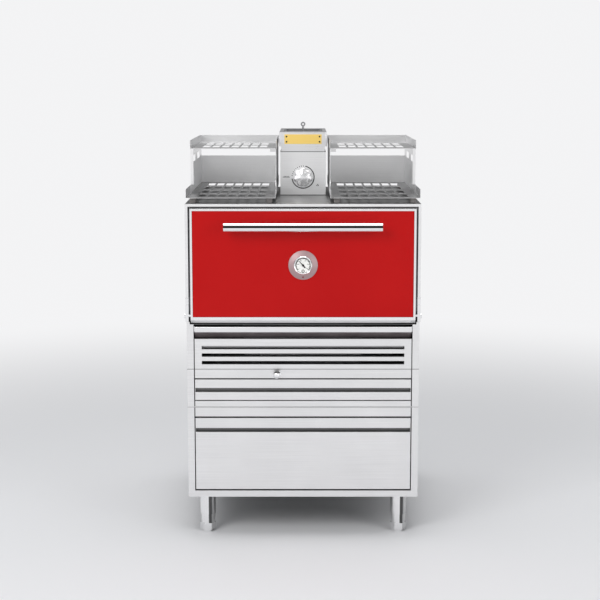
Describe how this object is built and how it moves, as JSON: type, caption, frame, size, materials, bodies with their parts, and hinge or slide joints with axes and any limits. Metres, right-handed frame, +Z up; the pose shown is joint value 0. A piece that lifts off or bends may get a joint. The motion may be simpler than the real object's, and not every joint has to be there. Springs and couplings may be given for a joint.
{
  "type": "charcoal oven",
  "caption": "Front-loading charcoal oven on a steel cabinet: drop-down door with thermometer, ash and storage drawers, damped flue, slotted holding racks, levelling legs.",
  "frame": {"origin": "on the floor, at the middle of the whole oven's plan outline", "axes": "+Z up, +X to the right seen from the front, +Y to the back; the door opens towards -Y"},
  "size_m": [0.917, 0.997, 1.5993],
  "materials": {
    "stainless": "horizontally brushed stainless sheet",
    "ledge_steel": "brushed stainless sheet, lower face heat-darkened",
    "folded_sheet": "plain folded stainless sheet",
    "rack_steel": "fine satin stainless sheet",
    "polished_steel": "polished stainless",
    "turned_steel": "turned and satin finished steel",
    "leg_steel": "satin stainless tube",
    "enamel_red": "glossy red enamel",
    "firebox_steel": "heat-darkened thick steel",
    "grate_iron": "raw cast iron",
    "mineral_wool": "matted ceramic fibre",
    "seal_rope": "woven heat-proof rope",
    "dial_white": "white printed dial",
    "needle_black": "matt black",
    "gauge_glass": "clear flat glass",
    "plate_gold": "satin gold",
    "pad_rubber": "grey heat-proof rubber"
  },
  "bodies": {
    "oven": {"base_casing": "stainless", "leg_sleeves": "leg_steel", "base_top_rail": "stainless", "storage_runner_channels": "turned_steel", "upper_casing": "stainless", "upper_bottom_rail": "stainless", "ash_pan_ledges": "folded_sheet", "draught_panel": "stainless", "louvre_panel": "stainless", "louvre_baffle": "folded_sheet", "front_ledge": "ledge_steel", "oven_casing": "stainless", "mouth_frame": "folded_sheet", "firebox": "firebox_steel", "oven_insulation": "mineral_wool", "charcoal_grate": "grate_iron", "ash_chute": "folded_sheet", "grill_rails": "folded_sheet", "lower_grill": "turned_steel", "upper_grill": "turned_steel", "hinge_brackets": "polished_steel", "flue_box": "stainless", "damper_dial": "turned_steel", "flue_cap": "stainless", "cap_plate": "plate_gold", "rack_left_frame": "rack_steel", "rack_left_lower_tray": "rack_steel", "rack_left_upper_tray": "rack_steel", "rack_right_frame": "rack_steel", "rack_right_lower_tray": "rack_steel", "rack_right_upper_tray": "rack_steel", "rack_pads": "pad_rubber"},
    "storage_drawer": {"storage_drawer_front": "stainless", "storage_drawer_box": "folded_sheet", "storage_runner_bars": "turned_steel"},
    "ash_drawer": {"ash_drawer_front": "stainless", "ash_pan": "folded_sheet"},
    "draught_control": {"draught_knob": "polished_steel", "draught_rod": "turned_steel"},
    "door": {"door_trim": "polished_steel", "door_panel": "enamel_red", "door_insulation": "mineral_wool", "door_liner": "folded_sheet", "door_gasket": "seal_rope", "hinge_bolts": "polished_steel", "handle_tube": "polished_steel", "handle_posts": "polished_steel", "gauge_flange": "polished_steel", "gauge_case": "polished_steel", "gauge_dial": "dial_white", "gauge_glass": "gauge_glass"},
    "thermometer_needle": {"gauge_needle": "needle_black"},
    "damper": {"damper_knob": "turned_steel", "damper_shaft": "turned_steel"},
    "arrestor": {"spark_arrestor": "polished_steel"},
    "leg_foot_front_left": {"foot_front_left": "leg_steel"},
    "leg_foot_front_right": {"foot_front_right": "leg_steel"},
    "leg_foot_back_left": {"foot_back_left": "leg_steel"},
    "leg_foot_back_right": {"foot_back_right": "leg_steel"}
  },
  "joints": [
    {"name": "storage_drawer_slide", "type": "slide", "parent": "oven", "child": "storage_drawer", "axis": [0, -1, 0], "range_m": [0, 0.5]},
    {"name": "ash_drawer_slide", "type": "slide", "parent": "oven", "child": "ash_drawer", "axis": [0, -1, 0], "range_m": [0, 0.45]},
    {"name": "draught_slide", "type": "slide", "parent": "oven", "child": "draught_control", "axis": [0, -1, 0], "range_m": [0, 0.05]},
    {"name": "door_hinge", "type": "hinge", "parent": "oven", "child": "door", "pos_m": [0, -0.4105, 0.871], "axis": [1, 0, 0], "range_deg": [0, 90]},
    {"name": "needle_turn", "type": "hinge", "parent": "door", "child": "thermometer_needle", "pos_m": [0, -0.4372, 1.071], "axis": [0, 1, 0], "range_deg": [-90, 175]},
    {"name": "damper_turn", "type": "hinge", "parent": "oven", "child": "damper", "pos_m": [0, 0.0065, 1.38], "axis": [0, 1, 0], "range_deg": [0, 90]},
    {"name": "arrestor_lift", "type": "slide", "parent": "oven", "child": "arrestor", "axis": [0, 0, 1], "range_m": [0, 0.1]},
    {"name": "foot_height_front_left", "type": "slide", "parent": "oven", "child": "leg_foot_front_left", "axis": [0, 0, -1], "range_m": [0, 0.035]},
    {"name": "foot_height_front_right", "type": "slide", "parent": "oven", "child": "leg_foot_front_right", "axis": [0, 0, -1], "range_m": [0, 0.035]},
    {"name": "foot_height_back_left", "type": "slide", "parent": "oven", "child": "leg_foot_back_left", "axis": [0, 0, -1], "range_m": [0, 0.035]},
    {"name": "foot_height_back_right", "type": "slide", "parent": "oven", "child": "leg_foot_back_right", "axis": [0, 0, -1], "range_m": [0, 0.035]}
  ]
}
